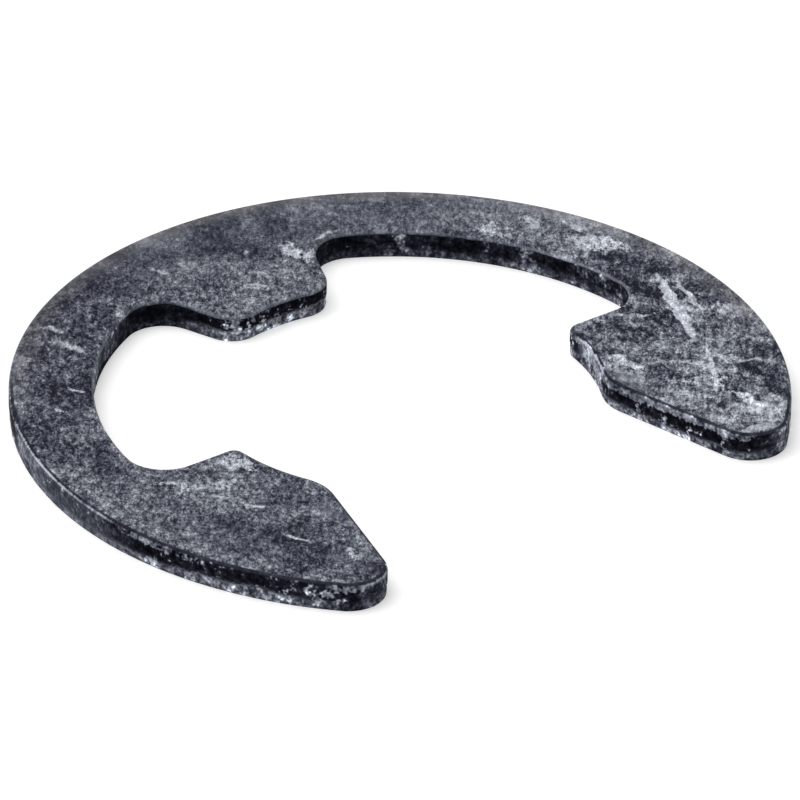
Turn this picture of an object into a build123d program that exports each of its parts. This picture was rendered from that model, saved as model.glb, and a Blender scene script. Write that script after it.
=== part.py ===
"""Circlip: an E-shaped retaining washer, pushed sideways into the groove of a shaft.

It is blanked from flat spring-steel strip in one stroke, so it is one piece of one thickness.
Frame: origin at the centre of the shaft's groove, on the face that the clip lies on. +Z is up
through the strip and along the shaft, the back of the ring is towards +Y and the mouth opens
towards -Y. Lengths are in millimetres and angles in degrees.
"""
from build123d import *
import os
from math import cos, radians, sin, sqrt

# Ring, from the shaft outwards.
groove_d = 12.0  # groove bottom that the three prongs grip
prong_height = 3.0  # how far the prongs stand in from the recess
band = 2.5  # width of the ring around the recess
stock = 0.90  # thickness of the strip

# Centre prong, at the back of the ring.
centre_half_angle = 17.0  # from the middle of its seat to each sharp corner
centre_flank_lean = 4.5  # how much further its flanks spread than a radius would

# Arm prongs, one on each side of the mouth.
shoulder_drop = 0.10  # the arms' straight shoulders lie this far below the centre
arm_wrap = 32.6  # how far their seats reach round below the centre line
mouth_flare = 14.4  # how far each side of the mouth spreads from straight

# Corner radii of the blanking die, seen from above.
centre_corner_r = 0.95
recess_corner_r = 1.15
shoulder_corner_r = 0.38
mouth_corner_r = 1.60
tip_r = 1.15

# Section of the sheared edge, from the top face down.
die_roll_r = 0.18  # edge drawn round as the punch enters
torn_height = 0.38  # torn zone under the smooth land
torn_lean = 0.02  # how far the torn zone draws in by the time it reaches the lower face
burr_break = 0.03  # sharp lower edge taken off by tumbling

groove_r = groove_d / 2
recess_r = groove_r + prong_height
ring_r = recess_r + band


def polar(radius, angle):
    """Point at this radius, with the angle counted from the back of the ring towards +X."""
    return Vector(radius * sin(radians(angle)), radius * cos(radians(angle)))


def at_height(radius, y):
    """Right-hand point of the circle of this radius that lies at this y."""
    return Vector(sqrt(radius**2 - y**2), y)


def out_to(start, heading, radius):
    """Where a straight edge that leaves start at this heading reaches the circle of this radius."""
    step = polar(1, heading)
    along = start.dot(step)
    return start + step * (sqrt(along**2 - start.dot(start) + radius**2) - along)


def arc_about_centre(start, end):
    """Arc about the origin, the short way round from start to end."""
    middle = (start + end).normalized() * start.length
    return ThreePointArc(start, middle, end)


def rounded(outline, corner, radius):
    """Round one corner of the outline and its twin on the other side of the mouth."""
    twins = (corner, Vector(-corner.X, corner.Y))
    found = [outline.vertices().sort_by_distance(spot)[0] for spot in twins]
    return fillet(found, radius=radius)


def blank_outline():
    """Outline of the blank: one half drawn corner to corner, mirrored, then its corners rounded."""
    seat_end = polar(groove_r, centre_half_angle)
    flank_root = out_to(seat_end, centre_half_angle + centre_flank_lean, recess_r)
    shoulder_root = at_height(recess_r, -shoulder_drop)
    shoulder_end = at_height(groove_r, -shoulder_drop)
    mouth_corner = polar(groove_r, 90 + arm_wrap)
    tip = out_to(mouth_corner, 180 - mouth_flare, ring_r)

    half = [
        Line(seat_end, flank_root),
        arc_about_centre(flank_root, shoulder_root),
        Line(shoulder_root, shoulder_end),
        arc_about_centre(shoulder_end, mouth_corner),
        Line(mouth_corner, tip),
    ]
    other_half = [mirror(edge, about=Plane.YZ) for edge in half]
    seat = ThreePointArc(Vector(-seat_end.X, seat_end.Y), Vector(0, groove_r), seat_end)
    back = ThreePointArc(tip, Vector(0, ring_r), Vector(-tip.X, tip.Y))

    outline = make_face(Curve() + half + other_half + [seat, back])
    outline = rounded(outline, seat_end, centre_corner_r)
    outline = rounded(outline, flank_root, recess_corner_r)
    outline = rounded(outline, shoulder_root, recess_corner_r)
    outline = rounded(outline, shoulder_end, shoulder_corner_r)
    outline = rounded(outline, mouth_corner, mouth_corner_r)
    return rounded(outline, tip, tip_r)


def lowest_face(solid):
    """The flat face that the clip lies on."""
    return solid.faces().sort_by(Axis.Z)[0]


def blanked_clip():
    """The blank with its sheared edge: die roll, smooth land, torn zone and broken lower edge."""
    clip = extrude(blank_outline(), stock)
    top = clip.faces().sort_by(Axis.Z)[-1]
    clip = fillet(top.edges(), radius=die_roll_r)
    under = lowest_face(clip)
    clip = chamfer(under.edges(), length=torn_lean, length2=torn_height, reference=under)
    return fillet(lowest_face(clip).edges(), radius=burr_break)


if __name__ == "__main__":
    os.makedirs("parts", exist_ok=True)
    export_step(blanked_clip(), "parts/clip.step")
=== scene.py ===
from math import atan2, cos, degrees, pi, radians, sin, sqrt

import bpy
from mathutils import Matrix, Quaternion, Vector, noise


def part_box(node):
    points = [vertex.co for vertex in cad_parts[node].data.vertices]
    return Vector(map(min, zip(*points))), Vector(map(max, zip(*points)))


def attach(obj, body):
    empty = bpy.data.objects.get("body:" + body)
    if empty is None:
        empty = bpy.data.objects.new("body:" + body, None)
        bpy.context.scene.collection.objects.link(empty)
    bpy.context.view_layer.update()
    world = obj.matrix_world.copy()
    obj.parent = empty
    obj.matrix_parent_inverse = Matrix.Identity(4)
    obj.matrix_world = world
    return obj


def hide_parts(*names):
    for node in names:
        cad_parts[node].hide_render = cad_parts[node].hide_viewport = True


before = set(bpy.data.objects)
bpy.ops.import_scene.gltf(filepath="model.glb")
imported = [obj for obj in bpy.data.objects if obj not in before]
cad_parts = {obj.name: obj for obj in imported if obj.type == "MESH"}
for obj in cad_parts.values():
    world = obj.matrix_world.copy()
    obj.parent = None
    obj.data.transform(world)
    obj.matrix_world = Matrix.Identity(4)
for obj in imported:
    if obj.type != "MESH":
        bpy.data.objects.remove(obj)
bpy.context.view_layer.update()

scene = bpy.context.scene
scene.view_settings.view_transform = "Standard"

# ------------------------------------------------------------------------------ the clip
# The whole circlip is one stamping of spring-steel strip: an open ring with a prong at its
# back and one on each arm. It is blanked in one stroke, then hardened, tumbled and
# phosphated, so it is dark grey with a rounded rim, a smooth black land and a torn zone.

MM = 0.001
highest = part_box("clip")[1]
ring_radius = highest.x
stock = highest.z
groove_radius = 6.0 * MM
recess_radius = 9.0 * MM

# Where the edges of the outline lie. Angles are in degrees, from the back of the ring.
centre_half_angle = 17.0
centre_flank_lean = 4.5
shoulder_drop = 0.10 * MM
arm_wrap = 32.6
mouth_flare = 14.4

# Corner radii of the blanking die.
centre_corner = 0.95 * MM
recess_corner = 1.15 * MM
shoulder_corner = 0.38 * MM
mouth_corner = 1.60 * MM
tip_corner = 1.15 * MM

# The sheared edge, from the top face down. The torn zone fades in below its upper border.
die_roll = 0.18 * MM
torn_height = 0.38 * MM
torn_fade = 0.06 * MM
torn_lean = 0.02 * MM
burr_break = 0.03 * MM

# How finely the mesh is divided: along the outline, across the two rounded edges, and up the
# wall. Each face has a narrow border of its own. Points within a whisker count as one.
edge_step = 0.065 * MM
roll_steps = 6
burr_steps = 2
torn_rows = 7
land_rows = 6
face_border = 0.02 * MM
crease_angle = radians(40)
whisker = 0.001 * MM


def polar(radius, angle):
    """Point at this radius, with the angle counted clockwise from the back of the ring."""
    return Vector((radius * sin(radians(angle)), radius * cos(radians(angle)), 0.0))


def at_height(radius, y):
    """Right-hand point of the circle of this radius that lies at this y."""
    return Vector((sqrt(radius**2 - y**2), y, 0.0))


def out_to(start, heading, radius):
    """Where a straight edge that leaves start at this heading reaches the circle of this radius."""
    along = start.dot(heading)
    return start + heading * (sqrt(along**2 - start.dot(start) + radius**2) - along)


def beside(heading):
    """Direction to the right of this heading."""
    return Vector((heading.y, -heading.x, 0.0))


def foot(point, start, heading):
    """The point of a straight edge that is nearest to this one."""
    return start + heading * (point - start).dot(heading)


def run_to(here, there):
    """Draw a straight edge from the last point of the outline."""
    steps = max(1, round((there - here).length / edge_step))
    for _ in range(steps):
        bpy.ops.mesh.extrude_region_move(TRANSFORM_OT_translate={"value": (there - here) / steps})
    return there


def swing_to(here, there, centre, clockwise):
    """Draw an arc about this centre from the last point of the outline."""
    arm, end = here - centre, there - centre
    turn = (atan2(arm.y, arm.x) - atan2(end.y, end.x)) % (2 * pi)
    if not clockwise:
        turn -= 2 * pi
    steps = max(3, round(abs(turn) * arm.length / edge_step))
    bpy.ops.mesh.spin(steps=steps, angle=turn, center=centre, axis=(0, 0, 1))
    return there


flank = polar(1, centre_half_angle + centre_flank_lean)
seat_end = polar(groove_radius, centre_half_angle)
mouth_side = polar(1, 180 - mouth_flare)
mouth_end = polar(groove_radius, 90 + arm_wrap)
hub = Vector((0, 0, 0))

# Centres of the rounded corners, in the order in which the outline meets them.
prong_pin = out_to(seat_end - beside(flank) * centre_corner, flank, groove_radius + centre_corner)
root_pin = out_to(seat_end + beside(flank) * recess_corner, flank, recess_radius - recess_corner)
relief_pin = at_height(recess_radius - recess_corner, recess_corner - shoulder_drop)
shoulder_pin = at_height(groove_radius + shoulder_corner, -shoulder_corner - shoulder_drop)
mouth_pin = out_to(mouth_end - beside(mouth_side) * mouth_corner, mouth_side, groove_radius + mouth_corner)
tip_pin = out_to(mouth_end - beside(mouth_side) * tip_corner, mouth_side, ring_radius - tip_corner)

# The outline starts as one point on the centre prong, and each edge and arc draws it on.
bpy.ops.object.select_all(action="DESELECT")
bpy.ops.mesh.primitive_plane_add(size=1 * MM)
clip = bpy.context.object
clip.name = clip.data.name = "stamped_clip"
bpy.ops.object.mode_set(mode="EDIT")
bpy.ops.mesh.select_all(action="SELECT")
bpy.ops.mesh.merge(type="CENTER")
here = polar(groove_radius, 0)
bpy.ops.transform.translate(value=here)
here = swing_to(here, prong_pin.normalized() * groove_radius, hub, True)
here = swing_to(here, foot(prong_pin, seat_end, flank), prong_pin, False)
here = run_to(here, foot(root_pin, seat_end, flank))
here = swing_to(here, root_pin.normalized() * recess_radius, root_pin, True)
here = swing_to(here, relief_pin.normalized() * recess_radius, hub, True)
here = swing_to(here, relief_pin - Vector((0, recess_corner, 0)), relief_pin, True)
here = run_to(here, shoulder_pin + Vector((0, shoulder_corner, 0)))
here = swing_to(here, shoulder_pin.normalized() * groove_radius, shoulder_pin, False)
here = swing_to(here, mouth_pin.normalized() * groove_radius, hub, True)
here = swing_to(here, foot(mouth_pin, mouth_end, mouth_side), mouth_pin, False)
here = run_to(here, foot(tip_pin, mouth_end, mouth_side))
here = swing_to(here, tip_pin.normalized() * ring_radius, tip_pin, False)
here = swing_to(here, polar(ring_radius, 0), hub, False)

# The other half is the same outline turned over, and the closed line is filled as one face.
bpy.ops.mesh.select_all(action="SELECT")
bpy.ops.mesh.duplicate()
bpy.ops.transform.resize(value=(-1, 1, 1), center_override=(0, 0, 0))
bpy.ops.mesh.select_all(action="SELECT")
bpy.ops.mesh.remove_doubles(threshold=whisker)
bpy.ops.mesh.edge_face_add()

# The strip's thickness, row by row, so that the torn zone has rows of its own. The last row
# is a little taller than the die roll, which is then rounded into it.
top_row = 1.1 * die_roll
land_height = stock - top_row - torn_height
rows = [torn_height / torn_rows] * torn_rows + [land_height / land_rows] * land_rows + [top_row]
for row in rows:
    bpy.ops.mesh.extrude_region_move(TRANSFORM_OT_translate={"value": (0, 0, row)})
bpy.ops.mesh.select_all(action="SELECT")
bpy.ops.mesh.normals_make_consistent(inside=False)


def select_flat(part, low, high, kind):
    """Select the edges or faces of a mesh whose points all lie between these two heights."""
    bpy.ops.mesh.select_all(action="DESELECT")
    bpy.ops.mesh.select_mode(type=kind)
    bpy.ops.object.mode_set(mode="OBJECT")
    points = part.data.vertices
    for piece in part.data.edges if kind == "EDGE" else part.data.polygons:
        piece.select = all(low <= points[i].co.z <= high for i in piece.vertices)
    bpy.ops.object.mode_set(mode="EDIT")


select_flat(clip, stock - whisker, stock + whisker, "EDGE")
bpy.ops.mesh.bevel(offset=die_roll, offset_type="OFFSET", segments=roll_steps, profile=0.5)
select_flat(clip, -whisker, whisker, "EDGE")
bpy.ops.mesh.bevel(offset=burr_break, offset_type="OFFSET", segments=burr_steps, profile=0.5)
for level in (0.0, stock):
    select_flat(clip, level - whisker, level + whisker, "FACE")
    bpy.ops.mesh.inset(thickness=face_border)
bpy.ops.object.mode_set(mode="OBJECT")

# The torn zone draws in unevenly below the land, and its upper border is ragged.
torn = clip.vertex_groups.new(name="torn")
for point in clip.data.vertices:
    below = Vector((point.co.x, point.co.y, 0)) / MM
    wobble = noise.noise(below * 1.6) * 0.07 + noise.noise(below * 5.0) * 0.05
    share = (torn_height + wobble * MM - point.co.z) / torn_fade
    if share > 0 and point.co.z > whisker:
        torn.add([point.index], min(share, 1.0), "REPLACE")
for size, depth in ((0.30 * MM, 1.4 * torn_lean), (0.10 * MM, 0.8 * torn_lean)):
    crumb = bpy.data.textures.new("crumbled_steel", type="CLOUDS")
    crumb.noise_scale = size
    crumb.noise_depth = 1
    tear = clip.modifiers.new("tear", "DISPLACE")
    tear.texture = crumb
    tear.vertex_group = torn.name
    tear.mid_level = 1.0
    tear.strength = depth
    bpy.ops.object.modifier_apply(modifier=tear.name)
bpy.ops.object.shade_smooth_by_angle(angle=crease_angle)

# ---------------------------------------------------------------------------- the finish
# One dark phosphate all over, which differs from face to wall and from place to place. Wires
# write its nodes as plain arithmetic. Places and sizes are in millimetres from here on.

# Height of the spots that run right through the strip.
through = 1000


class Wire:
    """One socket of a material. Arithmetic on wires adds the Math nodes that work it out."""

    def __init__(self, socket):
        self.socket = socket

    def node(self, kind, settings, values, out=0):
        """Add any node: its type, its settings, and the values or wires of its sockets."""
        tree = self.socket.id_data
        made = tree.nodes.new(kind)
        for name, setting in settings.items():
            if name == "texture_mapping":
                for part, amount in setting.items():
                    setattr(made.texture_mapping, part, amount)
            else:
                setattr(made, name, setting)
        for name, value in values.items():
            if isinstance(value, Wire):
                tree.links.new(value.socket, made.inputs[name])
            else:
                made.inputs[name].default_value = value
        return Wire(made.outputs[out])

    def feed(self, socket):
        """Lead this wire to a socket."""
        self.socket.id_data.links.new(self.socket, socket)

    def maths(self, operation, first, second=0.0):
        """Add a Math node to the same material."""
        return self.node("ShaderNodeMath", {"operation": operation}, {0: first, 1: second})

    def __add__(self, other):
        return self.maths("ADD", self, other)

    def __sub__(self, other):
        return self.maths("SUBTRACT", self, other)

    def __rsub__(self, other):
        return self.maths("SUBTRACT", other, self)

    def __mul__(self, other):
        return self.maths("MULTIPLY", self, other)

    __radd__ = __add__
    __rmul__ = __mul__

    def exp(self):
        """e to the power of this value."""
        return self.maths("EXPONENT", self)

    def softened(self, ceiling):
        """This brightness with its highlights held back, so that it stays under a ceiling."""
        return ceiling - ceiling * (self * (-1 / ceiling)).exp()

    def at_least(self, floor):
        """This value, or the floor where it is lower."""
        return self.maths("MAXIMUM", self, floor)

    def over(self, low, high):
        """0 at low and 1 at high, with a soft step between them."""
        settings = {"interpolation_type": "SMOOTHSTEP"}
        return self.node("ShaderNodeMapRange", settings, {0: self, 1: low, 2: high})

    def choose(self, first, second):
        """The first colour where this is 0, and the second where it is 1."""
        return self.node("ShaderNodeMix", {"data_type": "RGBA"}, {0: self, 6: first, 7: second}, out=2)

    def scaled(self, factors):
        """This place with x, y and z each multiplied by its factor."""
        return self.node("ShaderNodeVectorMath", {"operation": "MULTIPLY"}, {0: self, 1: factors})

    def tinted(self, tint):
        """This brightness in a tint."""
        return self.node("ShaderNodeVectorMath", {"operation": "SCALE"}, {0: tint, "Scale": self})

    def speckle(self, size, octaves=1, keep=0.9):
        """Noise about 0 whose largest blots are this wide. Each octave is half as wide."""
        values = {"Vector": self, "Scale": 0.5 / size, "Detail": octaves - 1, "Roughness": keep}
        return self.node("ShaderNodeTexNoise", {"normalize": False}, values)

    def length(self):
        """Distance of this place from the origin."""
        return self.node("ShaderNodeVectorMath", {"operation": "LENGTH"}, {0: self}, out="Value")

    def turned(self, heading, stretch):
        """Places that draw a pattern out along this heading, this many times."""
        values = {"Vector": self, "Rotation": (0, 0, radians(heading)), "Scale": (stretch, 1, 1)}
        return self.node("ShaderNodeMapping", {"vector_type": "TEXTURE"}, values)

    def spot(self, centre, heading, sizes, soft):
        """1 in the middle of a stretched ball and 0 outside it, with an edge this soft."""
        fitted = {"vector_type": "TEXTURE", "translation": centre}
        fitted["rotation"] = (0, 0, radians(heading))
        fitted["scale"] = [size / 2 for size in sizes]
        settings = {"gradient_type": "SPHERICAL", "texture_mapping": fitted}
        return self.node("ShaderNodeTexGradient", settings, {"Vector": self}, out="Fac").over(0.0, soft)

    def wandering(self, size, reach):
        """These places shifted about, so that what is drawn on them gets uneven borders."""
        values = {"Vector": self, "Scale": 0.5 / size, "Detail": 1, "Roughness": 0.7}
        shift = self.node("ShaderNodeTexNoise", {"normalize": False}, values, out="Color")
        settings = {"operation": "MULTIPLY_ADD"}
        return self.node("ShaderNodeVectorMath", settings, {0: shift, 1: (reach, reach, 0), 2: self})

    def area(self, x, y, heading, length, width):
        """A soft area of the face."""
        return self.spot((x, y, 0), heading, (length, width, through), 1.0)

    def stroke(self, start, end, width, soft=0.6):
        """A scratch or rub on the face, from end to end."""
        middle = [(first + last) / 2 for first, last in zip(start, end)]
        way = Vector(end) - Vector(start)
        heading = degrees(atan2(way.y, way.x))
        return self.spot((*middle, 0), heading, (way.length + width, width, through), soft)

    def blot(self, x, y, z, across, high):
        """A blot on the sheared edge."""
        return self.spot((x, y, z), 0, (across, across, high), 0.8)


def finish(name):
    """A new material and its Principled BSDF."""
    made = bpy.data.materials.new(name)
    made.use_nodes = True
    return made, made.node_tree.nodes["Principled BSDF"]


phosphated, skin = finish("phosphated_steel")
place = Wire(phosphated.node_tree.nodes.new("ShaderNodeTexCoord").outputs["Object"])
place = place.scaled((1 / MM, 1 / MM, 1 / MM))
height = place.node("ShaderNodeSeparateXYZ", {}, {0: place}, out="Z")
forward = place.node("ShaderNodeSeparateXYZ", {}, {0: place}, out="Y")
sideways = place.node("ShaderNodeSeparateXYZ", {}, {0: place}, out="X")
flat = place.scaled((1, 1, 0))
radius = flat.length()
drop = stock / MM - height

# How much light each part of the finish gives back, and the depth of its crystals.
land_black = 0.009
roll_grey = 0.032
torn_grey = 0.15
worn_grey = 0.15
flake_grey = 0.16
face_grey = 0.16
face_black = 0.014
pit_shade = 0.022
face_ceiling = 0.8
rubbed_grey = 0.31
rim_highlight_grey = 0.55
crystal_depth = 0.008 * MM

# The two faces: fine phosphate crystals on dark steel, cloudy, with short pale flecks.
grain = place.turned(53, 1.5).speckle(0.09, octaves=3, keep=1.0)
mottle = flat.turned(53, 1.5).speckle(0.8, octaves=2, keep=0.8)
clouds = flat.speckle(2.4, octaves=2, keep=0.7)
drifts = flat.turned(-40, 2.2).speckle(0.9, octaves=3, keep=0.7)
clumps = flat.turned(53, 1.7).speckle(0.26, octaves=2, keep=1.0)
flecks = flat.turned(-50, 3.0).speckle(0.30, octaves=2)
salt = place.turned(53, 1.4).speckle(0.08, octaves=2).over(0.15, 0.50)
on_right_arm = flat.area(8.8, -2.5, 75, 16.0, 8.0).over(0.0, 0.6)

# Scratches and rubs that stand out on the upper face: from where to where, how wide and how
# soft each one is. The factor is its strength.
scratched = flat.wandering(0.25, 0.10)
rubbed_on = flat.wandering(0.4, 0.40)
scratches = (
    scratched.stroke((10.1, 0.9), (8.6, -3.1), 0.46, 0.4) * 2.2
    + scratched.stroke((10.4, 0.5), (9.8, -2.0), 0.24, 0.5) * 1.5
    + scratched.stroke((8.9, -3.2), (7.2, -5.9), 0.22, 0.4) * 1.8
    + scratched.stroke((8.7, -4.5), (9.7, -5.1), 0.15) * 0.8
    + scratched.stroke((6.4, -7.9), (7.8, -8.3), 0.45)
    + scratched.stroke((9.0, 5.9), (8.8, 4.9), 0.40) * 1.2
    + scratched.stroke((9.7, 5.0), (9.8, 3.9), 0.30) * 1.1
    + scratched.stroke((2.4, 8.3), (4.2, 8.4), 0.36, 1.0) * 0.9
    + flat.stroke((0.9, 9.0), (0.7, 8.7), 0.30, 1.0) * 0.8
    + scratched.stroke((-0.5, 7.5), (0.4, 6.7), 0.32, 1.0) * 1.1
    + scratched.stroke((-2.1, 9.9), (-1.8, 9.0), 0.34, 1.0)
    + scratched.stroke((-6.8, 9.0), (-6.2, 8.0), 0.55, 1.0) * 0.9
    + scratched.stroke((-6.9, 8.2), (-6.4, 6.5), 0.62, 1.0)
    + scratched.stroke((-8.1, 5.5), (-7.9, 4.9), 0.16) * 0.9
    + scratched.stroke((-7.9, -4.7), (-7.3, -6.0), 0.28, 1.0) * 1.1
)
rubs = (
    rubbed_on.stroke((8.1, -4.4), (7.4, -5.8), 0.60, 1.0) * 1.3
    + rubbed_on.stroke((6.2, -2.6), (6.2, -3.2), 0.60) * 1.5
    + rubbed_on.stroke((7.7, -6.2), (7.9, -6.7), 0.70) * 2.4
    + rubbed_on.stroke((8.7, -6.7), (7.8, -8.0), 0.55) * 1.1
    + rubbed_on.stroke((9.9, -1.3), (11.0, -2.2), 0.40, 1.0) * 0.7
    + rubbed_on.stroke((7.6, -0.3), (9.0, -1.6), 0.35, 1.0) * 0.9
    + rubbed_on.stroke((6.3, -4.5), (7.8, -5.0), 0.90, 1.0) * 0.8
    + rubbed_on.stroke((9.5, 3.5), (10.2, 2.6), 1.05) * 1.3
    + rubbed_on.stroke((7.6, 6.2), (7.8, 5.0), 0.90, 1.0) * 0.9
    + rubbed_on.stroke((1.9, 8.6), (2.2, 7.2), 1.20, 1.0) * 1.1
    + rubbed_on.stroke((-4.6, 8.4), (-4.0, 8.1), 0.50, 1.0)
    + rubbed_on.stroke((-9.1, 4.6), (-9.0, 4.4), 0.36) * 1.2
    + rubbed_on.stroke((-6.7, -0.3), (-6.4, -1.4), 0.65) * 1.1
    + rubbed_on.stroke((-8.9, -0.4), (-8.5, -1.5), 0.90, 1.0) * 0.9
    + rubbed_on.stroke((-8.2, -1.3), (-6.8, -1.7), 0.75, 1.0) * 0.9
    + rubbed_on.stroke((-7.8, -3.2), (-7.6, -3.4), 0.30) * 1.2
    + rubbed_on.stroke((-7.0, -6.4), (-6.8, -7.4), 0.60, 1.0) * 0.9
)

# Broad areas that are lighter, darker or smoother than the rest: the middle of each, its
# heading, its length and its width.
cloudy = flat.wandering(0.9, 1.4)
lighter = (
    cloudy.area(7.1, -4.9, 0, 3.8, 3.2) * 0.7
    + cloudy.area(7.2, -7.1, 60, 3.8, 2.6) * 0.6
    + cloudy.area(10.2, -2.9, -75, 4.4, 2.4) * 0.8
    + cloudy.area(8.8, 4.6, -60, 5.0, 2.8) * 0.4
    + cloudy.area(6.2, 7.4, -42, 5.6, 2.6) * 0.3
    + cloudy.area(0.8, 6.8, -20, 4.0, 1.6) * 0.4
    + cloudy.area(-1.2, 6.4, 10, 2.6, 1.2) * 0.5
    + cloudy.area(-4.4, 8.2, 28, 4.0, 1.2) * 0.5
    + cloudy.area(-8.0, -1.3, -60, 4.4, 2.6) * 0.6
)
darker = (
    cloudy.area(9.3, 1.0, 60, 4.4, 3.4) * 1.9
    + cloudy.area(7.4, -1.5, -30, 3.8, 2.4) * 1.2
    + cloudy.area(8.8, -5.5, -35, 2.8, 2.2) * 1.6
    + cloudy.area(0.4, 9.8, -12, 8.0, 3.0) * 0.8
    + cloudy.area(-4.8, 9.2, 28, 6.4, 3.6) * 0.9
    + cloudy.area(-8.0, 6.2, 48, 7.0, 5.0) * 1.1
    + cloudy.area(-6.5, -2.9, 14, 2.2, 1.6) * 0.5
    + cloudy.area(-6.6, -4.3, 14, 1.6, 1.4) * 0.8
    + flat.area(-7.0, -8.2, 20, 3.2, 2.4) * 0.8
    + flat.area(-9.0, -3.4, -70, 4.0, 2.6) * 0.3
    + flat.area(6.3, -2.2, -60, 2.6, 1.8) * 0.4
    + cloudy.area(-10.3, 2.8, -80, 9.0, 3.4) * 0.8
    + cloudy.area(-8.0, -5.0, -60, 5.2, 3.6) * 0.9
)
far_edge = radius.over(10.6, 11.3) * (forward - sideways * 0.1).over(5.5, 8.5)
outer_right = radius.over(10.3, 11.3) * sideways.over(8.0, 10.0) * forward.over(-5.0, -2.0)
smoother = (
    flat.area(5.6, -3.7, -73, 2.4, 1.3)
    + flat.area(-6.9, -7.4, -60, 2.4, 1.4) * 0.6
    + flat.area(-5.7, -5.6, -75, 5.0, 0.9) * 0.8
    + flat.area(-9.0, -4.4, -55, 7.0, 3.0) * 0.35
    + (far_edge + outer_right) * 0.7
    + (forward + sideways * 0.3).over(7.0, 10.0) * 0.6
)

# The crystals and everything coarser add up to one tone, and the marks lie over it.
is_upper = height.over(0.4, 0.5)
wear = (lighter - darker) * is_upper
pale_flecks = (flecks + clouds * 0.4 + wear * 0.2).over(0.20, 0.75)
crystals = grain * (1.3 + on_right_arm * 0.2) * (1 - smoother * 0.7)
tone = (
    crystals
    + clumps * (0.45 + on_right_arm * 0.3) * (1 - smoother * 0.4)
    + salt * 0.45
    + mottle * 0.35
    + drifts * (0.15 + on_right_arm * 0.95)
    + clouds * 0.3
    - 0.04
    + pale_flecks * (0.5 + on_right_arm * 0.4)
    + wear
    + far_edge * 0.3
    + outer_right * 0.7
    - is_upper * smoother * 0.1
)
face_shade = (face_grey * tone.exp() - pit_shade).at_least(face_black).softened(face_ceiling)
marks = (scratches * (1 + grain * 0.3) + rubs * (1 + grain * 0.8 + mottle * 0.5)) * is_upper
rubbed = (marks - 0.15).over(0.0, 0.75)
rubbed_shade = (rubbed_grey + marks * 0.13) * (grain * 0.5).exp()
face_shade = face_shade + (rubbed_shade - face_shade) * rubbed


def tint_of(shade, deep, pale):
    """The blacker the steel shows, the bluer it is."""
    return (shade * -12).exp().choose(pale, deep)


crystal_tint = tint_of(face_shade, (0.91, 1.0, 1.70, 1), (0.94, 1.0, 1.12, 1))
face_tint = (far_edge * 0.8 + outer_right * 0.6).choose(crystal_tint, (1.00, 1.0, 1.12, 1))
face_colour = face_shade.tinted(face_tint)

# The sheared edge: rolled rim, worn band below it, black burnished land, pale torn zone.
# First its grain, and the stretches of wall that differ from the rest.
grit = place.speckle(0.16, octaves=3, keep=1.0)
patches = place.scaled((1, 1, 0.6)).speckle(0.8, octaves=3, keep=0.8)
at_back = radius.over(9.9, 9.4) * forward.over(-0.8, 0.0)
in_recess = at_back * radius.over(6.9, 8.7)
recess_right = in_recess * sideways.over(3.5, 8.0)
on_prong = at_back - in_recess
on_left = flat.area(-11.5, 2.4, 90, 13.0, 3.4).over(0.0, 0.6)
on_seat = flat.area(5.8, -2.1, 105, 4.4, 2.0).over(0.0, 0.5)
left_front = flat.area(-9.6, -6.2, -55, 8.0, 3.0).over(0.0, 0.6)
left_tip = flat.area(-6.8, -8.7, 30, 3.2, 2.4).over(0.0, 0.6)
left_end = flat.area(-8.5, -8.1, -45, 3.8, 2.4).over(0.0, 0.6)
right_tip = flat.area(7.2, -8.7, 20, 2.8, 2.0).over(0.0, 0.6)
right_end = flat.area(8.2, -8.0, 40, 3.6, 1.8).over(0.0, 0.6)
smooth_wall = (on_left + on_seat).over(0.0, 1.0)
ragged = grit * 0.06 + patches * 0.08

# Bare spots on the wall, one by one: where, how wide and how high.
blots = (
    place.blot(-9.6, -6.3, 0.4, 0.60, 0.45) * 1.8
    + place.blot(-8.4, -7.9, 0.5, 0.50, 0.35)
    + place.blot(-8.2, -8.1, 0.3, 0.50, 0.30)
    + place.blot(-11.1, -2.9, 0.2, 0.70, 0.40)
    + place.blot(6.2, -7.5, 0.5, 0.25, 0.70)
    + place.blot(5.4, -4.5, 0.4, 0.40, 0.40)
    + place.blot(4.0, 8.1, 0.4, 0.14, 0.15) * 2.0
    + place.blot(-2.2, 6.8, 0.3, 0.15, 0.22) * 2.0
    + place.blot(-4.8, 7.6, 0.8, 0.14, 0.12) * 2.0
    + place.blot(-1.6, 6.0, 0.5, 0.40, 0.90) * 1.3
)

# The land is black and broken by flakes of bare steel, with painted light on the walls that are lit: the
# left wall, the seat, the left tip, the right end and the left of the back.
painted_wall_light = (
    on_left * (1.9 + forward.over(1.5, 4.0) * 1.6)
    + on_seat * 4.1
    + left_tip * 2.2
    + right_end * 2.8
    + at_back * sideways.over(-3.8, -5.6) * 2.5
)
land_tone = grit * (1.5 - smooth_wall * 0.6) + patches * (0.9 - smooth_wall * 0.4) + painted_wall_light
land_shade = land_black * (land_tone + recess_right * 0.5 + left_front * 0.5).exp()
flake_zone = (
    left_front * 0.15
    + recess_right * 0.9
    + on_prong * 0.3
    - in_recess * 0.55
    - (right_tip + left_end + on_left) * 0.5
)
flakes = blots * (1 + grit) + (grit * (0.7 - in_recess * 0.4) + patches * 1.1 + flake_zone) * 0.7
flakes = flakes.over(0.30, 0.85)
land_shade = land_shade + flakes * ((flake_grey - in_recess * 0.07) * (grit * 1.5).exp())
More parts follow.
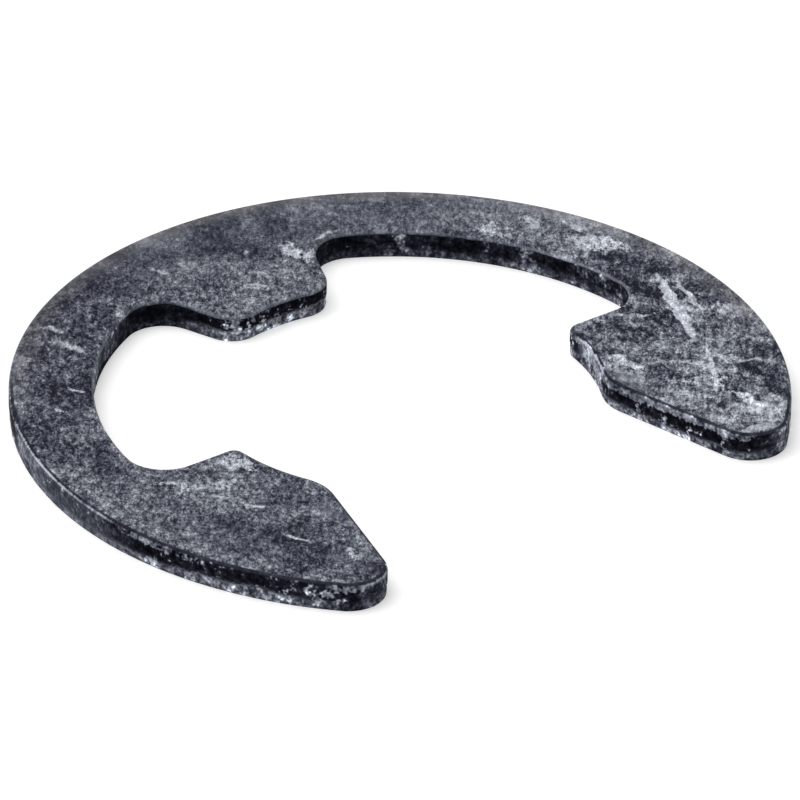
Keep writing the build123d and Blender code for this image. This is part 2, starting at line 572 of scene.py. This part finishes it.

# The torn zone, below an edge that is sharp here and soft there, with painted shade that darkens it in the
# recess.
torn_edge = 0.24 + on_prong * 0.10 + left_front * 0.10 + right_tip * 0.08
torn_soft = 0.05 + in_recess * 0.08 + right_tip * 0.12
is_torn = (height + ragged * (1.5 - in_recess)).over(torn_edge + torn_soft, torn_edge - torn_soft)
torn_tone = (
    grit * (1.6 - on_left * 0.7)
    + patches * 0.9
    + flakes * 0.5
    + on_prong * 0.6
    + recess_right
    + sideways.over(0.0, 4.0) * 0.3
    + left_front * 0.5
    - in_recess * 1.9
    - right_tip * 0.9
    - left_end * 1.2
)
torn_shade = torn_grey * torn_tone.exp()
edge_shade = land_shade + (torn_shade - land_shade) * is_torn

# The worn band under the rim, which reaches lower by the mouth and has painted light on the seat, and the
# bright line along its top on the walls that are smooth: worn steel with a painted highlight.
by_mouth = place.blot(5.2, -4.0, 0.6, 1.6, 0.7)
worn_foot = 0.23 + by_mouth * 0.10 - right_tip * 0.20 + ragged
worn_band = drop.over(0.045, 0.075) * (worn_foot - drop).over(-0.02, 0.02) * (1 - at_back)
worn_much = 0.9 - left_front * 1.3 - on_left * 1.5 + on_seat * 0.5 - right_tip * 0.8
worn_band = worn_band * (grit * 0.8 + patches * 0.6 + worn_much).over(-0.2, 0.8)
worn_shade = (worn_grey + on_seat * 0.16) * (grit * 1.2 + patches * 0.5).exp()
edge_shade = edge_shade + (worn_shade - edge_shade) * worn_band
rim_drop = drop + smooth_wall * 0.03
rim_highlight_much = on_left * (0.55 + forward.over(0.5, 2.5) * 0.6) + on_seat * 1.4 + left_tip * 0.6
rim_highlight_line = rim_drop.over(0.070, 0.090) * rim_drop.over(0.150, 0.115) * rim_highlight_much
rim_highlight_line = rim_highlight_line * (0.9 + grit * 0.5 + patches * 0.4)
edge_shade = edge_shade + (rim_highlight_grey - edge_shade) * rim_highlight_line.over(0.0, 1.0)

# The rolled rim is darker than the face, but at the back and on the far side it is as pale, and at the
# back it has painted glints.
faces_away = (sideways * 0.6 + forward * 0.8).over(-1.0, 1.0) * radius.over(11.0, 11.3)
as_face = (at_back + faces_away).over(0.0, 1.0)
roll_shade = roll_grey * (grit * 0.6 + patches * 0.4 + right_tip * 0.4).exp()
lit_roll = face_shade * (1 - drop.over(0.04, 0.13) * at_back * 0.6)
# Painted glints on the rim at the back, brightest at its far left and right.
glints = sideways.over(-4.8, -6.2) * 0.09 + sideways.over(7.5, 8.3) * 0.10 + on_prong * 0.05 + 0.05
lit_roll = lit_roll + drop.over(0.02, 0.08) * at_back * glints
roll_shade = roll_shade + (lit_roll - roll_shade) * as_face
on_roll = (rim_drop - at_back * 0.05 - on_prong * 0.03 + ragged * 0.2).over(0.085, 0.055)
edge_shade = edge_shade + (roll_shade - edge_shade) * on_roll
edge_colour = edge_shade.tinted(tint_of(edge_shade, (0.92, 1.0, 1.60, 1), (0.94, 1.0, 1.15, 1)))

# Face or edge, as they meet on the rim, and the crystals' relief.
on_face = (drop - at_back * 0.02).over(0.020, 0.002) + height.over(0.02, 0.005)
on_face.choose(edge_colour, face_colour).feed(skin.inputs["Base Color"])
(0.60 - on_roll * 0.2 + is_torn * 0.2 - rubbed * 0.15).feed(skin.inputs["Roughness"])
skin.inputs["Specular IOR Level"].default_value = 0.01
relief = grain * (on_face + is_torn * 2.0 + 0.1)
bump_inputs = {"Height": relief, "Distance": crystal_depth, "Strength": 0.5}
bump = relief.node("ShaderNodeBump", {}, bump_inputs)
bump.feed(skin.inputs["Normal"])
clip.data.materials.append(phosphated)
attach(clip, "root")
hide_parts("clip")

# ---------------------------------------------------------------------------- the studio
# A plain white table that the clip lies on, a broad soft lamp overhead and a smaller one at
# the left. Table and room are white where they are looked at or mirrored.

table_side = 2.0
board_white = 0.80
board_glow = 0.40
room_light = 0.4
room_white = 1.0

bpy.ops.object.select_all(action="DESELECT")
bpy.ops.mesh.primitive_plane_add(size=table_side, location=(0, 0, 0))
table = bpy.context.object
table.name = table.data.name = "table"
white_board, board = finish("white_board")
board.inputs["Base Color"].default_value = (board_white, board_white, board_white, 1)
board.inputs["Roughness"].default_value = 0.9
board.inputs["Specular IOR Level"].default_value = 0.0
board.inputs["Emission Color"].default_value = (1, 1, 1, 1)


def looked_at(tree):
    """1 for what the camera sees, directly, mirrored in metal or through glass."""
    rays = tree.nodes.new("ShaderNodeLightPath").outputs
    direct = Wire(rays["Is Camera Ray"])
    on_the_way = Wire(rays["Is Glossy Ray"]) + Wire(rays["Is Transmission Ray"])
    return direct.maths("MINIMUM", direct + on_the_way, 1)


(looked_at(white_board.node_tree) * board_glow).feed(board.inputs["Emission Strength"])
table.data.materials.append(white_board)


def lamp(name, hung_at, size, power):
    """A square soft lamp that points at the clip."""
    bpy.ops.object.light_add(type="AREA", location=hung_at)
    made = bpy.context.object
    made.name = made.data.name = name
    made.data.size = size
    made.data.energy = power
    made.rotation_euler = (-Vector(hung_at)).to_track_quat("-Z", "Y").to_euler()


lamp("overhead", (-0.08, 0.10, 0.40), 0.30, 1.0)
lamp("left", (-0.40, 0.22, 0.14), 0.20, 0.35)
room = bpy.data.worlds.new("room")
scene.world = room
room.use_nodes = True
air = room.node_tree.nodes["Background"]
air.inputs["Color"].default_value = (1, 1, 1, 1)
room_strength = room_light + looked_at(room.node_tree) * (room_white - room_light)
room_strength.feed(air.inputs["Strength"])

# A long lens, from the front left and a third of the way up.
view_from = radians(-36.9)
view_up = radians(30.6)
view_roll = radians(0.83)
view_distance = 0.3924
nearer = 0.94 * MM
lens_length = 602.6
sensor_width = 36.0
toward = Vector((sin(view_from), -cos(view_from), 0))
back = toward * cos(view_up) + Vector((0, 0, sin(view_up)))
aim = Vector((0, 0, stock)) + toward * nearer
bpy.ops.object.camera_add(location=aim + back * view_distance)
camera = bpy.context.object
camera.rotation_euler = (back.to_track_quat("Z", "Y") @ Quaternion((0, 0, 1), view_roll)).to_euler()
camera.data.sensor_width = sensor_width
camera.data.lens = lens_length
scene.camera = camera
